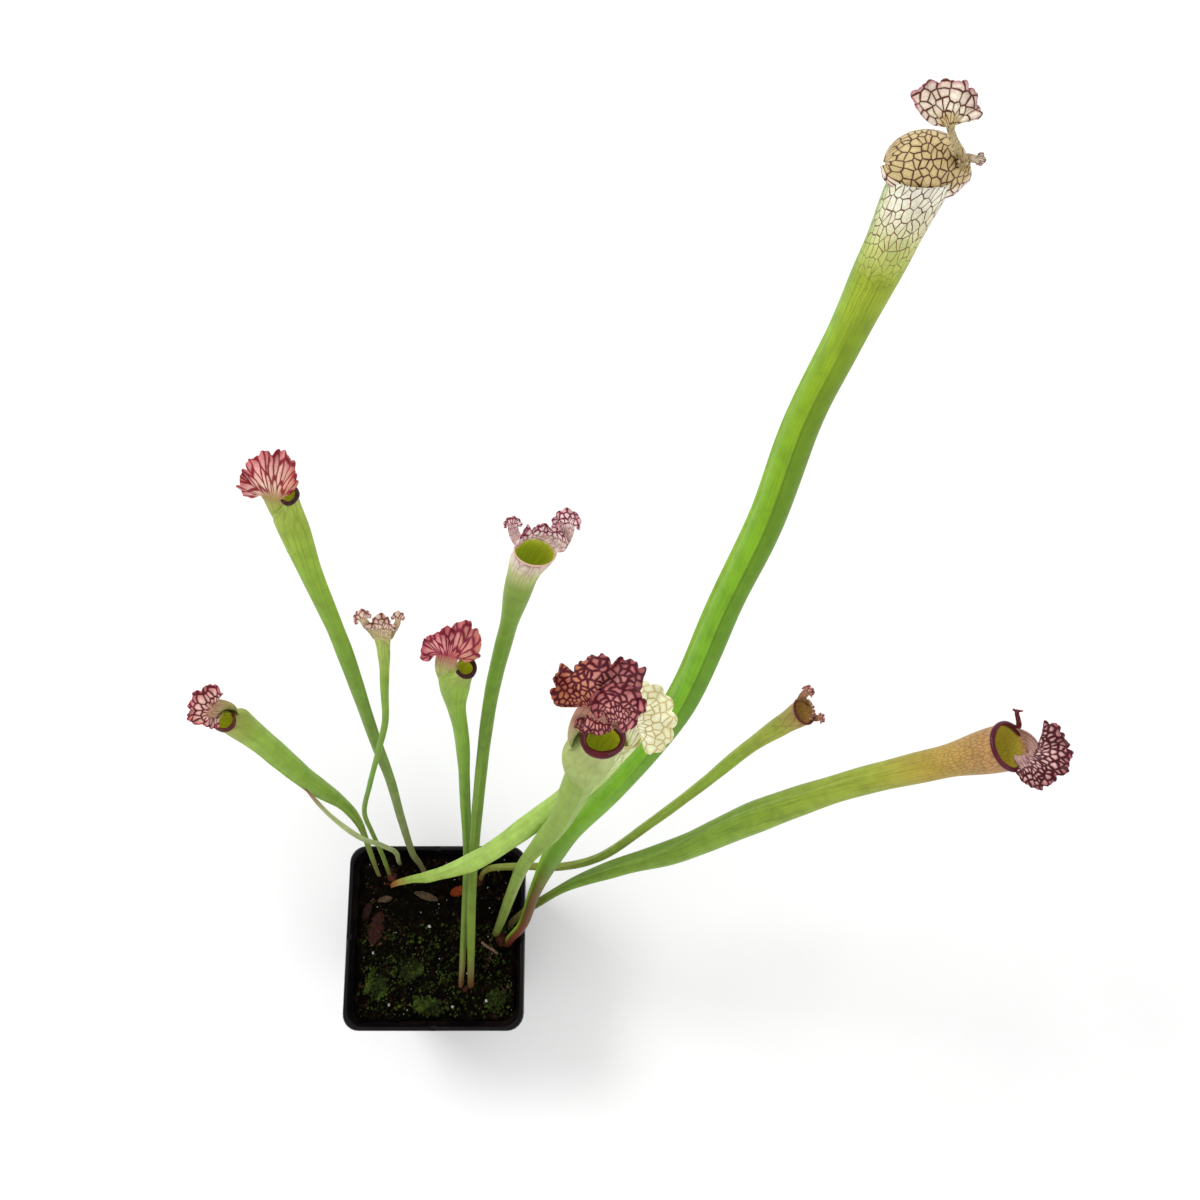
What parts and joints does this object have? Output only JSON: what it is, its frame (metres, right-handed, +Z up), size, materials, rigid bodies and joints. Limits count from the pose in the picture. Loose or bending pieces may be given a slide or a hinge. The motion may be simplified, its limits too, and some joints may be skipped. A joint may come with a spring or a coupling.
{
  "type": "potted trumpet pitcher plant",
  "caption": "Trumpet pitcher plant with tall hollow hooded leaves, veined dark red at the top, leaning out of a square black nursery pot of peat and moss.",
  "frame": {"origin": "middle of the pot's flat underside", "axes": "+Z up, the pot's sides along X and Y; most leaves lean to +Y, the longest to +X and +Y"},
  "size_m": [0.3658, 0.2731, 0.4387],
  "materials": {
    "pot_plastic": "black moulded plastic, gently glossy",
    "peat": "damp black-brown peat with pale mineral grains",
    "rhizome": "dark red-brown, scaly",
    "moss": "matt green moss",
    "old_leaf": "dry, dull brown",
    "twig_bark": "dry, pale brown",
    "pitcher_tall_skin": "smooth leaf, satin, with dark red veins towards the top",
    "pitcher_right_skin": "smooth leaf, satin, with dark red veins towards the top",
    "pitcher_thin_skin": "smooth leaf, satin, with dark red veins towards the top",
    "pitcher_back_skin": "smooth leaf, satin, with dark red veins towards the top",
    "pitcher_front_skin": "smooth leaf, satin, with dark red veins towards the top",
    "pitcher_pale_skin": "smooth leaf, satin, with dark red veins towards the top",
    "pitcher_mid_skin": "smooth leaf, satin, with dark red veins towards the top",
    "pitcher_upper_left_skin": "smooth leaf, satin, with dark red veins towards the top",
    "pitcher_small_skin": "smooth leaf, satin, with dark red veins towards the top",
    "pitcher_left_skin": "smooth leaf, satin, with dark red veins towards the top",
    "blade_leaf_skin": "smooth leaf, satin"
  },
  "bodies": {
    "root": {"pot": "pot_plastic", "soil": "peat", "crown_left": "rhizome", "crown_right": "rhizome", "crown_front": "rhizome", "crown_back": "rhizome", "crown_back_right": "rhizome", "pitcher_tall": "pitcher_tall_skin", "pitcher_right": "pitcher_right_skin", "pitcher_thin": "pitcher_thin_skin", "pitcher_back": "pitcher_back_skin", "pitcher_front": "pitcher_front_skin", "pitcher_pale": "pitcher_pale_skin", "pitcher_mid": "pitcher_mid_skin", "pitcher_upper_left": "pitcher_upper_left_skin", "pitcher_small": "pitcher_small_skin", "pitcher_left": "pitcher_left_skin", "blade_leaf": "blade_leaf_skin", "moss_front_left": "moss", "moss_front": "moss", "moss_front_right": "moss", "moss_side": "moss", "old_leaf_base": "old_leaf", "dry_leaf_scrap": "old_leaf", "orange_leaf_scrap": "old_leaf", "leaf_stub": "old_leaf", "bark_chip": "twig_bark", "twig": "twig_bark"}
  },
  "joints": []
}
